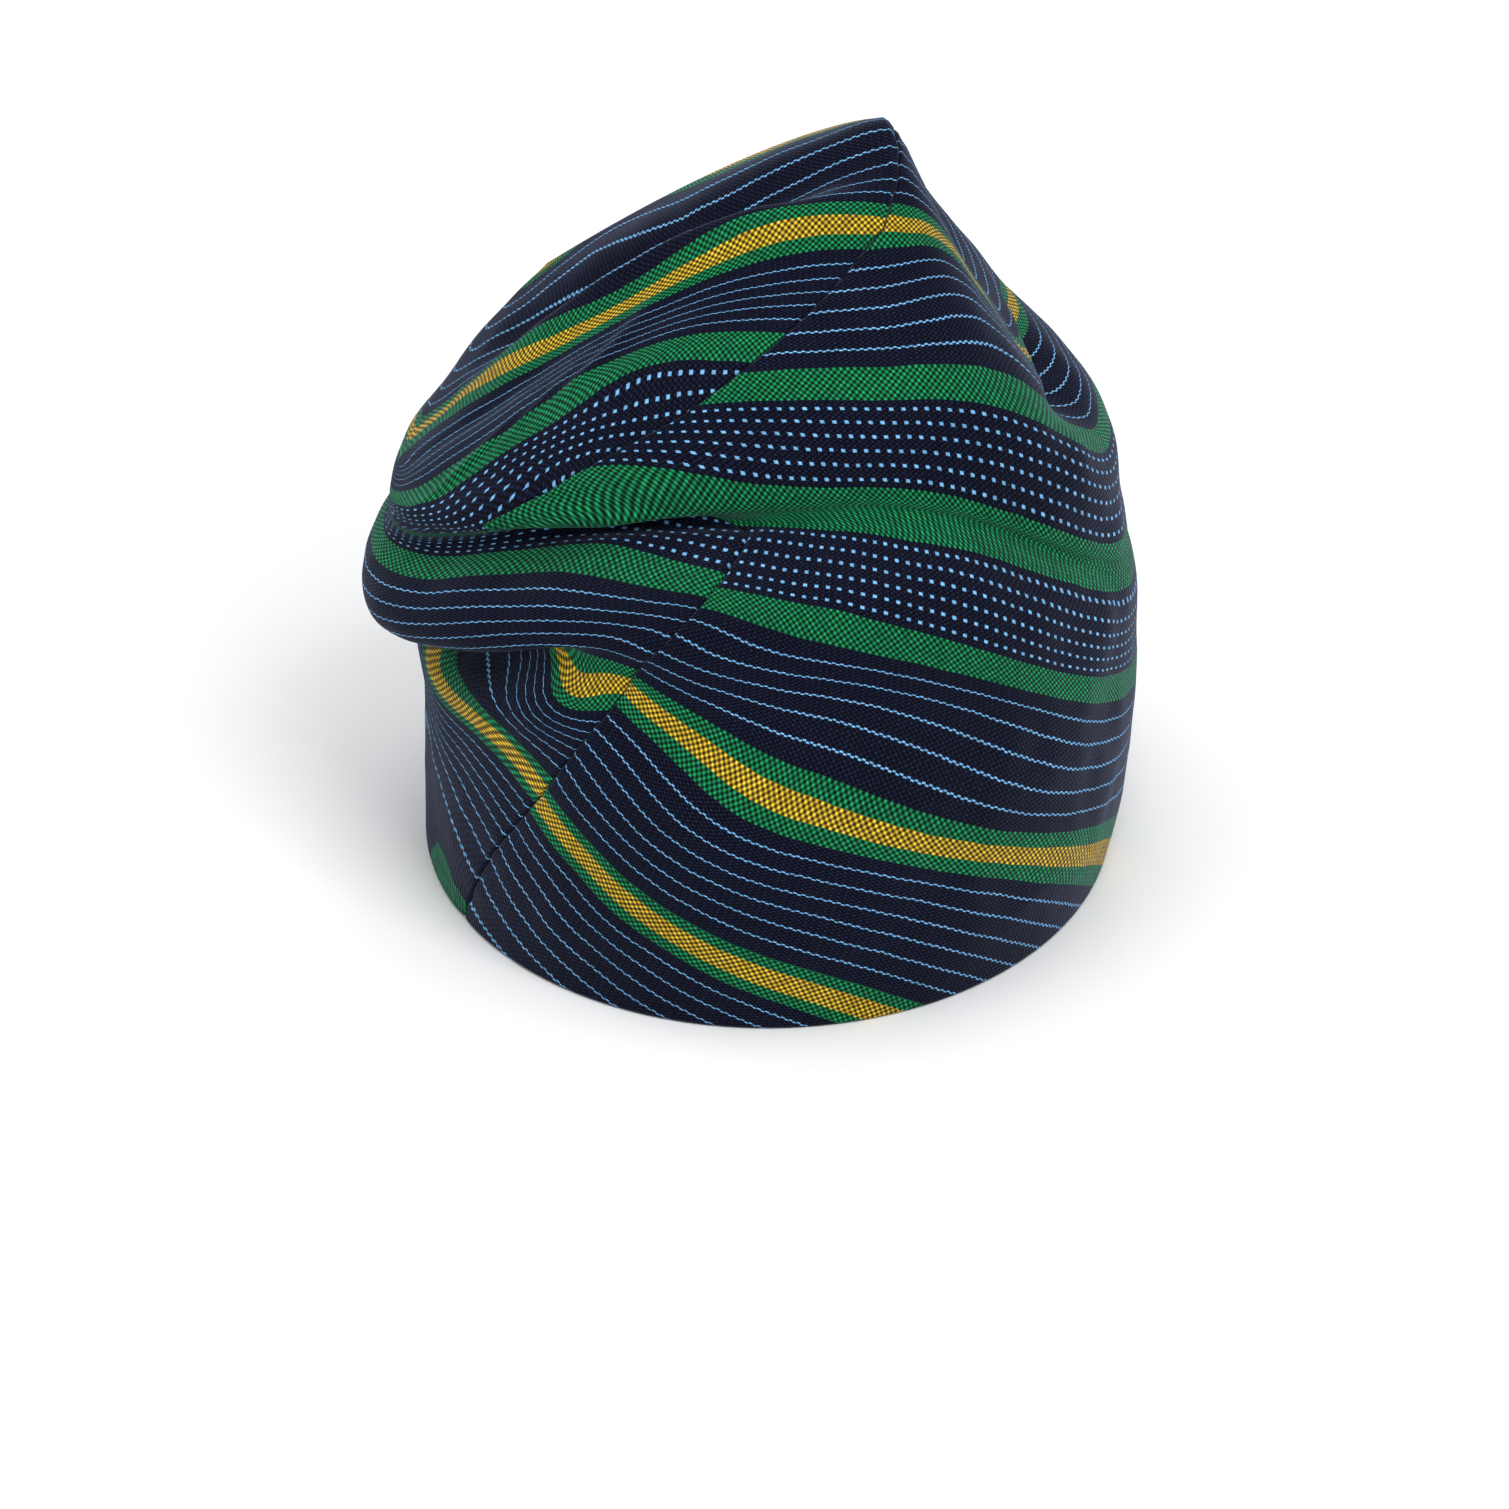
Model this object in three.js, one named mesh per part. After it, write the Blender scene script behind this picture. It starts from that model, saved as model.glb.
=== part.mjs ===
// A soft aso oke fila cap: two cloth halves sewn together along one seam over the crown.
// Millimetres, +Z up. The near side, with the front seam, faces -Y and the folded nose faces -X.
// The origin is the centre of the cap's box, at the bottom, where the rim rests.
import * as THREE from 'three';

// Driving dimensions
const rimWidth = 164;       // across the rim, left to right
const rimDepth = 202;       // across the rim, near to far
const capHeight = 191;      // from the rim's plane to the peak
const clothRise = 242;      // cloth from the rim to the top of the crown, up the near side
const foldDepth = 15;       // how far the deepest fold tucks in
const clothWall = 2;        // the two layers of strip cloth
const hemWall = 3;          // the wall where the rim is turned under
const hemRise = 15;         // how high the turned-under hem reaches
const seamGap = 0.6;        // between the two halves along the seam

// Rows of faces from the rim up: how many, and the share of the cloth's rise that they reach.
const rowBands = [
  { rows: 9, upTo: 0.31 },
  { rows: 13, upTo: 0.49 },
  { rows: 14, upTo: 0.59 },
  { rows: 16, upTo: 1 },
];
const panelColumns = 26;    // faces across one half, from seam to seam; an even number

// The cap's level sections, from the rim to the closed top of the crown. A row gives where its
// ring reaches: left, right and top as shares of half the rim's width, mid, near and far as
// shares of half its depth, and how high its four quarters lie as shares of the cap's height.
// top is where the near and far quarters stand along X, mid where the sides stand along Y.
// bend says how roundly a ring falls from its quarters to its sides: 2 is round, 1 is a tent.
const sectionColumns = [
  'level', 'left', 'right', 'mid', 'near', 'far', 'top',
  'upLeft', 'upRight', 'upNear', 'upFar', 'bend',
];
const sections = [
  [0.000, -1.000, 1.000, 0.000, -1.000, 1.000, 0.000, 0.000, 0.000, 0.000, 0.000, 2.0],
  [0.107, -1.000, 1.050, 0.000, -1.010, 1.010, 0.020, 0.126, 0.094, 0.140, 0.105, 2.0],
  [0.248, -1.012, 1.073, 0.000, -0.970, 1.020, 0.100, 0.240, 0.210, 0.320, 0.240, 2.0],
  [0.405, -1.075, 1.073, -0.030, -0.842, 0.990, 0.170, 0.380, 0.314, 0.505, 0.356, 2.0],
  [0.467, -1.100, 1.073, -0.050, -0.745, 0.950, 0.220, 0.428, 0.356, 0.568, 0.398, 2.0],
  [0.521, -1.100, 1.061, -0.059, -0.594, 0.900, 0.244, 0.465, 0.398, 0.605, 0.430, 2.0],
  [0.562, -1.098, 1.049, -0.040, -0.554, 0.850, 0.268, 0.490, 0.429, 0.632, 0.461, 2.0],
  [0.653, -1.090, 1.000, 0.000, -0.490, 0.733, 0.329, 0.508, 0.550, 0.742, 0.565, 2.5],
  [0.814, -1.028, 0.770, 0.060, -0.230, 0.515, 0.341, 0.553, 0.660, 0.905, 0.723, 1.9],
  [0.934, -0.800, 0.560, 0.139, -0.020, 0.337, 0.341, 0.680, 0.770, 1.000, 0.860, 1.5],
  [1.000, -0.600, 0.439, 0.198, 0.198, 0.198, 0.320, 0.785, 0.810, 0.950, 0.950, 1.4],
];

// The seam, by level: its bearings in degrees on the near side and the far side, 0 near, 90 right.
const seamColumns = ['level', 'front', 'back'];
const seam = [
  [0.000, -63, 117],
  [0.107, -54, 122],
  [0.248, -40, 130],
  [0.405, -22, 140],
  [0.470, -15, 145],
  [0.506, -15, 148],
  [0.524, -30, 150],
  [0.548, -50, 151],
  [0.580, -46, 153],
  [0.653, -23, 158],
  [0.814, 0, 170],
  [0.934, 10, 180],
  [1.000, 0, 180],
];

// The folds. bearing and reach are in degrees: where a fold is deepest, and how far it runs to
// each side. level, climb and width are shares of the cloth's rise: the height of its bottom,
// how much that climbs over a radian of bearing, and its width. tuck, lip and sag are shares of
// the fold depth: the bottom's way in, the lip's way out, and how far the lip hangs over.
const foldColumns = ['bearing', 'reach', 'level', 'climb', 'width', 'tuck', 'lip', 'sag'];
const folds = [
  [-74, 58, 0.376, 0.00, 0.041, 0.95, 0.55, 0.66],   // the nose hanging over the left side
  [-40, 54, 0.513, 0.00, 0.040, 0.65, 0.40, 0.12],   // the flap of the crown over the near left
  [45, 65, 0.541, 0.00, 0.021, 0.13, 0.07, 0.07],    // the same crease running on to the right
  [-32, 42, 0.840, 0.00, 0.050, 0.10, 0.10, 0.66],   // the ridge from the peak down to the left
  [85, 40, 0.780, 0.12, 0.045, 0.65, 0.00, 0.00],    // the valley behind the right-hand edge
];

// Turns a table's rows into objects with the columns' names.
function named(columns, rows) {
  return rows.map((row) => Object.fromEntries(columns.map((column, i) => [column, row[i]])));
}
const rings = named(sectionColumns, sections);
const seamPoints = named(seamColumns, seam);
const creases = named(foldColumns, folds);

const degrees = THREE.MathUtils.degToRad;

// A column's value at a level, on a smooth curve through the rows.
function along(rows, column, level) {
  const last = rows.length - 1;
  let k = 0;
  while (k < last - 1 && level > rows[k + 1].level) k += 1;
  const slope = (i) => {
    const lower = rows[Math.max(i - 1, 0)];
    const upper = rows[Math.min(i + 1, last)];
    return (upper[column] - lower[column]) / (upper.level - lower.level);
  };
  const span = rows[k + 1].level - rows[k].level;
  const u = (level - rows[k].level) / span;
  const start = rows[k][column] * (1 + 2 * u) * (1 - u) ** 2;
  const end = rows[k + 1][column] * u * u * (3 - 2 * u);
  return start + end + span * u * (1 - u) * (slope(k) * (1 - u) - slope(k + 1) * u);
}

// A smooth bump, 1 high, round a middle.
function bump(q, middle, width) {
  return Math.exp(-(((q - middle) / width) ** 2));
}

// How strongly a fold works at a bearing: 1 in its middle, 0 past its reach.
function foldShare(crease, turn) {
  const way = Math.abs(turn) / degrees(crease.reach);
  return way < 1 ? Math.cos(way * Math.PI / 2) ** 1.5 : 0;
}

// A point of the cloth's outer face, at a bearing in radians and a level from 0 to 1.
function facePoint(bearing, level) {
  const at = (column) => along(rings, column, level);
  const sine = Math.sin(bearing);
  const cosine = Math.cos(bearing);
  const top = at('top');
  const mid = at('mid');
  const fall = Math.abs(sine) ** at('bend');
  const side = at(sine > 0 ? 'right' : 'left');
  const quarter = at(cosine > 0 ? 'near' : 'far');
  const upSide = at(sine > 0 ? 'upRight' : 'upLeft');
  const upQuarter = at(cosine > 0 ? 'upNear' : 'upFar');
  const point = new THREE.Vector3(
    (top + Math.abs(sine) * (side - top)) * rimWidth / 2,
    (mid + Math.abs(cosine) * (quarter - mid)) * rimDepth / 2,
    (upQuarter * (1 - fall) + upSide * fall) * capHeight,
  );
  for (const crease of creases) {
    const away = bearing - degrees(crease.bearing);
    const turn = Math.atan2(Math.sin(away), Math.cos(away));
    const q = (level - crease.level - crease.climb * turn) / crease.width;
    const share = foldShare(crease, turn) * foldDepth;
    const inward = crease.tuck * bump(q, -0.5, 0.7);
    const out = crease.lip * bump(q, 1.6, 0.9) - inward;
    const over = bump(q, -0.2, 0.83) - bump(q, 1.1, 0.83);
    point.x += sine * out * share;
    point.y -= cosine * out * share;
    point.z += crease.sag * over * share;
  }
  return point;
}

// The face's outward direction.
function faceNormal(bearing, level) {
  const step = 0.004;
  const high = Math.min(level + step, 1 - step);
  const low = Math.max(Math.min(level, 1 - step) - step, 0);
  const acrossStep = facePoint(bearing + step, low).sub(facePoint(bearing - step, low));
  const upStep = facePoint(bearing, high).sub(facePoint(bearing, low));
  return acrossStep.cross(upStep).normalize();
}

// The levels of the rows of faces, from the rim up.
function rowLevels() {
  const levels = [0];
  for (const band of rowBands) {
    const start = levels[levels.length - 1];
    for (let i = 1; i <= band.rows; i += 1) {
      levels.push(start + (band.upTo - start) * i / band.rows);
    }
  }
  return levels;
}

// The wall is thicker where the hem is turned under, and thins smoothly above it.
function wallAt(level) {
  const above = THREE.MathUtils.smoothstep(level * clothRise, hemRise * 0.7, hemRise * 1.3);
  return hemWall + (clothWall - hemWall) * above;
}

// One half of the cap: a closed wall between two seam bearings given by functions of the level.
function panelGeometry(startAt, endAt) {
  const levels = rowLevels();
  const topRow = levels.length - 1;
  const positions = [];
  const indices = [];
  const outer = [];
  const inner = [];

  const cornerOf = (level, column) => {
    const start = startAt(level);
    const end = endAt(level);
    return start + (end - start) * column / panelColumns;
  };
  // Steps a seam edge back into its own half, square to the seam, to leave the gap.
  const seamStep = (level, column) => {
    if (column !== 0 && column !== panelColumns) return new THREE.Vector3();
    const low = Math.max(level - 0.002, 0);
    const high = Math.min(level + 0.002, 1);
    const run = facePoint(cornerOf(high, column), high).sub(facePoint(cornerOf(low, column), low));
    const across = run.cross(faceNormal(cornerOf(level, column), level));
    if (level === 0) across.setZ(0);
    return across.setLength(column === 0 ? seamGap / 2 : -seamGap / 2);
  };
  const addVertex = (point) => positions.push(point.x, point.y, point.z) / 3 - 1;

  levels.forEach((level, row) => {
    outer.push([]);
    inner.push([]);
    for (let column = 0; column <= panelColumns; column += 1) {
      const partner = panelColumns - column;
      if (row === topRow && column > partner) {
        outer[row].push(outer[row][partner]);
        inner[row].push(inner[row][partner]);
        continue;
      }
      const bearing = cornerOf(level, column);
      const face = facePoint(bearing, level).add(seamStep(level, column));
      const normal = faceNormal(bearing, level);
      if (row === topRow) normal.add(faceNormal(cornerOf(level, partner), level)).normalize();
      if (row === 0) normal.setZ(0).normalize();
      const lining = face.clone().addScaledVector(normal, -wallAt(level));
      outer[row].push(addVertex(face));
      inner[row].push(addVertex(lining));
    }
  });

  const addQuad = (a, b, c, d) => indices.push(a, b, c, a, c, d);
  for (let row = 0; row < topRow; row += 1) {
    for (let column = 0; column < panelColumns; column += 1) {
      const up = row + 1;
      const on = column + 1;
      addQuad(outer[row][column], outer[row][on], outer[up][on], outer[up][column]);
      addQuad(inner[row][on], inner[row][column], inner[up][column], inner[up][on]);
    }
    const last = panelColumns;
    addQuad(inner[row][0], outer[row][0], outer[row + 1][0], inner[row + 1][0]);
    addQuad(inner[row][last], inner[row + 1][last], outer[row + 1][last], outer[row][last]);
  }
  for (let column = 0; column < panelColumns; column += 1) {
    addQuad(inner[0][column], inner[0][column + 1], outer[0][column + 1], outer[0][column]);
  }

  const geometry = new THREE.BufferGeometry();
  geometry.setAttribute('position', new THREE.Float32BufferAttribute(positions, 3));
  geometry.setIndex(indices);
  geometry.computeVertexNormals();
  return geometry;
}

const frontSeam = (level) => degrees(along(seamPoints, 'front', level));
const backSeam = (level) => degrees(along(seamPoints, 'back', level));
const frontSeamFromBack = (level) => frontSeam(level) + degrees(360);

const stripCloth = new THREE.MeshStandardMaterial({ color: 0x1c1f38, roughness: 0.85, metalness: 0 });

const rightPanel = new THREE.Mesh(panelGeometry(frontSeam, backSeam), stripCloth);
rightPanel.name = 'right_panel';

const leftPanel = new THREE.Mesh(panelGeometry(backSeam, frontSeamFromBack), stripCloth.clone());
leftPanel.name = 'left_panel';

const cap = new THREE.Group();
cap.add(rightPanel, leftPanel);

// The origin goes to the bottom centre of the cap's box.
const box = new THREE.Box3().setFromObject(cap);
const centre = box.getCenter(new THREE.Vector3());
cap.position.set(-centre.x, -centre.y, -box.min.z);
cap.updateMatrixWorld(true);

export default cap;
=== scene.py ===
# %% [markdown]
# # An aso oke fila cap
# A fila is a soft, brimless cap. This one is sewn from strip-woven aso oke cloth in two halves,
# left and right, joined edge to edge by one seam that runs up the near side, over the peak and
# down the far side. The crown is taller than the head, so it is folded over: a nose of cloth
# hangs over the left side and a long flap lies across the near side.
#
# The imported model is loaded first. It is the fixed frame that every piece here has to fit.

# %% Load the frame
import math

import bpy
import numpy as np
from mathutils import Matrix, Vector, noise


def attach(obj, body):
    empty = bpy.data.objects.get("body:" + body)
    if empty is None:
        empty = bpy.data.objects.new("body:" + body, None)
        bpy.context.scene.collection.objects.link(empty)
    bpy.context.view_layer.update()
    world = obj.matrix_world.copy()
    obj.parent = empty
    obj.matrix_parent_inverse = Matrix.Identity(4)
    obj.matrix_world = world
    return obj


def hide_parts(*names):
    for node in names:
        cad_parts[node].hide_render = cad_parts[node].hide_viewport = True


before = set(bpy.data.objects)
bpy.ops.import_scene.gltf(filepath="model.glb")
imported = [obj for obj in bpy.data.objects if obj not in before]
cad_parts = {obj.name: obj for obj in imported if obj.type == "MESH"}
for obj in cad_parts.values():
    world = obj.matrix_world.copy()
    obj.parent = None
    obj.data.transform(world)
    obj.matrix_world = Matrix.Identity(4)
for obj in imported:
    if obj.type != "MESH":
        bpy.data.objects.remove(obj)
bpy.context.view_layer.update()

# %% [markdown]
# ## Sizes
# Cloth has no edges and corners to model, so its form is one smooth surface that is worked out
# from a few measured sizes and short tables. Sculpting by hand would look as good, but it could
# not be resized, and it would not follow the solids. Everything here is in metres.

# %% Sizes of the cap
RIM_WIDTH = 0.164      # across the rim, left to right
RIM_DEPTH = 0.202      # across the rim, near to far
CAP_HEIGHT = 0.191     # from the rim's plane to the peak
CLOTH_RISE = 0.242     # cloth from the rim to the top of the crown, up the near side
FOLD_DEPTH = 0.015     # how far the deepest fold tucks in
CLOTH_WALL = 0.002     # the two layers of strip cloth
HEM_WALL = 0.003       # the wall where the rim is turned under
HEM_RISE = 0.015       # how high the turned-under hem reaches
SEAM_GAP = 0.0003      # between the two halves, at the bottom of the seam's groove

# %% [markdown]
# ## The cap's level sections
# A row is a ring round the cap, from the rim to the closed top. It says where the ring reaches
# to the left, right, near and far side, and how high each of those quarters lies, as shares of
# the sizes. `bend` tells a round ring, 2, from a tent, 1. The seam has a table of its own,
# because it slips sideways inside the pocket under the flap. It is in degrees round the cap, and
# so is every bearing below: 0 is the near side and 90 the right.

# %% Sections and seam
SECTION_COLUMNS = ("level left right mid near far top upLeft upRight upNear upFar bend").split()
SECTIONS = np.array([
    [0.000, -1.000, 1.000, 0.000, -1.000, 1.000, 0.000, 0.000, 0.000, 0.000, 0.000, 2.0],
    [0.107, -1.000, 1.050, 0.000, -1.010, 1.010, 0.020, 0.126, 0.094, 0.140, 0.105, 2.0],
    [0.248, -1.012, 1.073, 0.000, -0.970, 1.020, 0.100, 0.240, 0.210, 0.320, 0.240, 2.0],
    [0.405, -1.075, 1.073, -0.030, -0.842, 0.990, 0.170, 0.380, 0.314, 0.505, 0.356, 2.0],
    [0.467, -1.100, 1.073, -0.050, -0.745, 0.950, 0.220, 0.428, 0.356, 0.568, 0.398, 2.0],
    [0.521, -1.100, 1.061, -0.059, -0.594, 0.900, 0.244, 0.465, 0.398, 0.605, 0.430, 2.0],
    [0.562, -1.098, 1.049, -0.040, -0.554, 0.850, 0.268, 0.490, 0.429, 0.632, 0.461, 2.0],
    [0.653, -1.090, 1.000, 0.000, -0.490, 0.733, 0.329, 0.508, 0.550, 0.742, 0.565, 2.5],
    [0.814, -1.028, 0.770, 0.060, -0.230, 0.515, 0.341, 0.553, 0.660, 0.905, 0.723, 1.9],
    [0.934, -0.800, 0.560, 0.139, -0.020, 0.337, 0.341, 0.680, 0.770, 1.000, 0.860, 1.5],
    [1.000, -0.640, 0.439, 0.198, 0.198, 0.198, 0.320, 0.745, 0.810, 0.950, 0.950, 1.4],
])

SEAM_COLUMNS = ("level front back").split()
SEAM = np.array([
    [0.000, -63, 117],
    [0.107, -54, 122],
    [0.248, -40, 130],
    [0.405, -22, 140],
    [0.470, -15, 145],
    [0.506, -15, 148],
    [0.524, -30, 150],
    [0.548, -50, 151],
    [0.580, -46, 153],
    [0.653, -23, 158],
    [0.814, 0, 170],
    [0.934, 10, 180],
    [1.000, 0, 180],
])


def along(columns, table, name, level):
    """A column's value at a level, on a smooth curve through the table's rows."""
    knots, values = table[:, 0], table[:, columns.index(name)]
    slope = np.empty_like(values)
    slope[1:-1] = (values[2:] - values[:-2]) / (knots[2:] - knots[:-2])
    slope[0] = (values[1] - values[0]) / (knots[1] - knots[0])
    slope[-1] = (values[-1] - values[-2]) / (knots[-1] - knots[-2])
    k = np.clip(np.searchsorted(knots, level, side="right") - 1, 0, len(knots) - 2)
    span = knots[k + 1] - knots[k]
    u = (level - knots[k]) / span
    start = values[k] * (1 + 2 * u) * (1 - u) ** 2
    end = values[k + 1] * u * u * (3 - 2 * u)
    return start + end + span * u * (1 - u) * (slope[k] * (1 - u) - slope[k + 1] * u)


print(len(SECTIONS), "sections and", len(SEAM), "seam points")

# %% [markdown]
# ## The folds
# A fold is a crease that tucks in, with a lip of cloth above it that rolls out and hangs down.
# It could be simulated, but a simulated fold never lands where the real one does. Here each fold
# pushes the smooth surface in and out along a wave across the fold, faded out along it.

# %% Folds
FOLD_COLUMNS = ("bearing reach level climb width tuck lip sag").split()
FOLDS = [
    [-74, 58, 0.376, 0.00, 0.041, 0.95, 0.55, 0.66],   # the nose hanging over the left side
    [-40, 54, 0.513, 0.00, 0.040, 0.65, 0.40, 0.12],   # the flap of the crown over the near left
    [45, 65, 0.541, 0.00, 0.021, 0.13, 0.07, 0.07],    # the same crease running on to the right
    [-32, 42, 0.840, 0.00, 0.050, 0.10, 0.10, 0.66],   # the ridge from the peak down to the left
    [85, 40, 0.780, 0.12, 0.045, 0.65, 0.00, 0.00],    # the valley behind the right-hand edge
]
FADE_OUT = 1.5                                # how soon a fold fades out along its reach
LIP, TUCK = (1.6, 0.9), (-0.5, 0.7)           # where each lies across a fold and how broad it is,
HANGS, DRAWN_UP = (1.1, 0.83), (-0.2, 0.83)   # in the fold's own widths


def bump(q, middle, width):
    """A smooth bump, 1 high."""
    return np.exp(-(((q - middle) / width) ** 2))


def turn_from(bearing, degrees):
    """The bearing measured from another one, between half a turn back and half a turn on."""
    away = bearing - math.radians(degrees)
    return np.arctan2(np.sin(away), np.cos(away))


def face_point(bearing, level):
    """Points of the cloth's outer face, by bearing in radians and level from 0 to 1."""
    at = {name: along(SECTION_COLUMNS, SECTIONS, name, level) for name in SECTION_COLUMNS[1:]}
    sine, cosine = np.sin(bearing), np.cos(bearing)
    side = np.where(sine > 0, at["right"], at["left"])
    quarter = np.where(cosine > 0, at["near"], at["far"])
    fall = np.abs(sine) ** at["bend"]
    up_side = np.where(sine > 0, at["upRight"], at["upLeft"])
    up_quarter = np.where(cosine > 0, at["upNear"], at["upFar"])
    x = (at["top"] + np.abs(sine) * (side - at["top"])) * RIM_WIDTH / 2
    y = (at["mid"] + np.abs(cosine) * (quarter - at["mid"])) * RIM_DEPTH / 2
    z = (up_quarter * (1 - fall) + up_side * fall) * CAP_HEIGHT
    for row in FOLDS:
        fold = dict(zip(FOLD_COLUMNS, row))
        turn = turn_from(bearing, fold["bearing"])
        q = (level - fold["level"] - fold["climb"] * turn) / fold["width"]
        way = np.clip(np.abs(turn) / math.radians(fold["reach"]), 0, 1)
        share = FOLD_DEPTH * np.cos(way * math.pi / 2) ** FADE_OUT
        out = fold["lip"] * bump(q, *LIP) - fold["tuck"] * bump(q, *TUCK)
        over = bump(q, *DRAWN_UP) - bump(q, *HANGS)
        x = x + sine * out * share
        y = y - cosine * out * share
        z = z + fold["sag"] * over * share
    return np.stack([x, y, z], axis=-1)


def unit(vectors):
    """The same directions, one long."""
    return vectors / np.maximum(np.linalg.norm(vectors, axis=-1, keepdims=True), 1e-12)


def face_normal(bearing, level):
    """The outer face's outward direction."""
    step = 0.003
    high = np.minimum(level + step, 1 - step)
    low = np.maximum(np.minimum(level, 1 - step) - step, 0)
    across = face_point(bearing + step, low) - face_point(bearing - step, low)
    up = face_point(bearing, high) - face_point(bearing, low)
    return unit(np.cross(across, up))


print("folds:", len(FOLDS))

# %% [markdown]
# ## How the cloth lies
# Aso oke is woven in long strips, so its stripes are straight on the loom. On the cap they run
# round it, and they bunch up under the nose and fan out towards the rim. This table says which
# part of the striped pattern lies at each level, in millimetres from the middle green stripe.
# `near` and `right` tilt it, and `gathered` draws it down over the left side. The last two are
# for the left half alone: `tucked` hides the green stripe in its pocket, `slip` is how far its
# stripes miss those of the right half at the seam.

# %% The cloth's course
CLOTH_COLUMNS = ("level mean near right gathered tucked slip").split()
CLOTH = np.array([
    [0.000, -106, -28, 38, -13,  0, 4],
    [0.120,  -83, -19, 27, -47,  0, 4],
    [0.210,  -66, -11, 21, -64,  0, 4],
    [0.335,  -40, -14, 14, -70,  0, 4],
    [0.400,  -27,  -7,  9, -28,  0, 4],
    [0.467,  -14,  -3,  4, -12,  0, 4],
    [0.505,   -7,   0,  0,  -4,  0, 5],
    [0.525,   -3,   0,  0,   0, 20, 5],
    [0.541,    0,   0,  0,   0, 22, 6],
    [0.600,   14,   0,  0,   0, 25, 7],
    [0.670,   31,   0,  0,   0, 18, 9],
    [0.740,   51,   0,  0,   0, 12, 8],
    [0.806,   71,   0,  0,   0,  6, 2],
    [1.000,  122,   0,  0,   0,  0, 2],
])
print("rows of the cloth's course:", len(CLOTH))

# %% [markdown]
# A fold that pulls on the cloth bends its stripes there. A row of the next table is one such
# pull: on which half, where, how far it reaches round and up, and by how many millimetres.

# %% Pulls on the cloth
LEFT, RIGHT, BOTH = "left", "right", "both"
PULL_COLUMNS = ("half bearing run level rise pull").split()
PULLS = [
    [LEFT, -40, 9, 0.335, 0.040, 18],      # the hook of the second yellow stripe under the nose
    [LEFT, -73, 20, 0.300, 0.060, 17],     # the first yellow stripe beside it
    [BOTH, -40, 28, 0.425, 0.042, -16],    # the lines along the nose's lip
    [LEFT, -42, 22, 0.485, 0.030, -6],     # the green stripe along the nose
    [RIGHT, -38, 20, 0.585, 0.050, -13],   # the middle green stripe at the flap's end
    [LEFT, -40, 14, 0.612, 0.045, -9],     # the dotted rows above the flap's end
    [LEFT, -31, 16, 0.730, 0.055, -12],    # the green stripe pushed up by the flap
    [LEFT, -33, 16, 0.795, 0.045, 10],     # the yellow stripe drawn down behind the ridge
    [LEFT, -72, 18, 0.820, 0.050, -9],     # the same stripe further down
    [LEFT, -95, 22, 0.700, 0.060, 20],     # where it turns round the left end
    [LEFT, -52, 20, 1.000, 0.080, -9],     # the green stripe thinning out along the top edge
    [RIGHT, 40, 30, 0.800, 0.090, -17],    # the lines in front of the right-hand valley
]
GATHERED_AT = -90      # the bearing that the left side's cloth gathers towards
GATHERED_REACH = 90    # and how far round from there it is drawn in


def across_stripes(bearing, level, half):
    """The distance across the stripes, in metres from the middle of the middle green one."""
    at = {name: along(CLOTH_COLUMNS, CLOTH, name, level) for name in CLOTH_COLUMNS[1:]}
    way = np.clip(np.abs(turn_from(bearing, GATHERED_AT)) / math.radians(GATHERED_REACH), 0, 1)
    share = np.cos(way * math.pi / 2) ** 2
    place = at["mean"] + at["near"] * np.cos(bearing) + at["right"] * np.sin(bearing)
    place = place + at["gathered"] * share
    if half == LEFT:
        place = place + at["tucked"] * share - at["slip"]
    for row in PULLS:
        pull = dict(zip(PULL_COLUMNS, row))
        if pull["half"] in (half, BOTH):
            turn = turn_from(bearing, pull["bearing"])
            shape = bump(turn, 0, math.radians(pull["run"]))
            shape = shape * bump(level, pull["level"], pull["rise"])
            place = place + pull["pull"] * shape
    return place / 1000


print("the stripes cover", CLOTH[0, 1], "to", CLOTH[-1, 1], "mm, with", len(PULLS), "pulls")

# %% [markdown]
# ## One half of the cap
# Each half is a closed wall: an outer face, an inner face and the edges between them. The rows
# and columns stand close together near the hem and the seam, where the cloth turns in sharply.

# %% Rows and columns
EDGE_STEPS = np.array([0, 0.25, 0.55, 0.9, 1.3, 1.8, 2.5, 3.5]) / 1000   # from a seam or the hem
ROWS, COLUMNS = 190, 186
PANEL_WIDTH = 0.25     # the cloth from seam to seam, about
CLOSER = 1.3           # how many more rows there are in the folds, as a share
FOLDS_AT, FOLDS_WIDTH = 0.42, 0.12   # the levels that have them
TRIAL_LEVELS = 2000    # levels at which the rows' spread is measured


def row_levels():
    """Levels of the rows: close at the hem and in the folds."""
    low = EDGE_STEPS / CLOTH_RISE
    even = np.linspace(0, 1, TRIAL_LEVELS)
    density = 1 + CLOSER * bump(even, FOLDS_AT, FOLDS_WIDTH)
    spread = np.cumsum(density)
    spread = (spread - spread[0]) / (spread[-1] - spread[0])
    rest = np.interp(np.linspace(0, 1, ROWS), spread, low[-1] + even * (1 - low[-1]))
    return np.concatenate([low[:-1], rest])


def column_places():
    """Places of the columns from seam to seam, 0 to 1."""
    edge = EDGE_STEPS / PANEL_WIDTH
    middle = np.linspace(edge[-1], 1 - edge[-1], COLUMNS)
    return np.concatenate([edge[:-1], middle, (1 - edge[:-1])[::-1]])


LEVELS = row_levels()
PLACES = column_places()
print("rows:", len(LEVELS), "columns:", len(PLACES))

# %% [markdown]
# ## Small creases
# The folds above are the ones that give the cap its outline. Handling leaves many smaller ones:
# soft dents, a groove or two, and puckers where the seam draws the cloth together. All but the
# pocket's are a millimetre or two deep. They could be sculpted, but a short table of dents and a
# little smooth noise can be read and changed. Depths are in millimetres.

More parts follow.
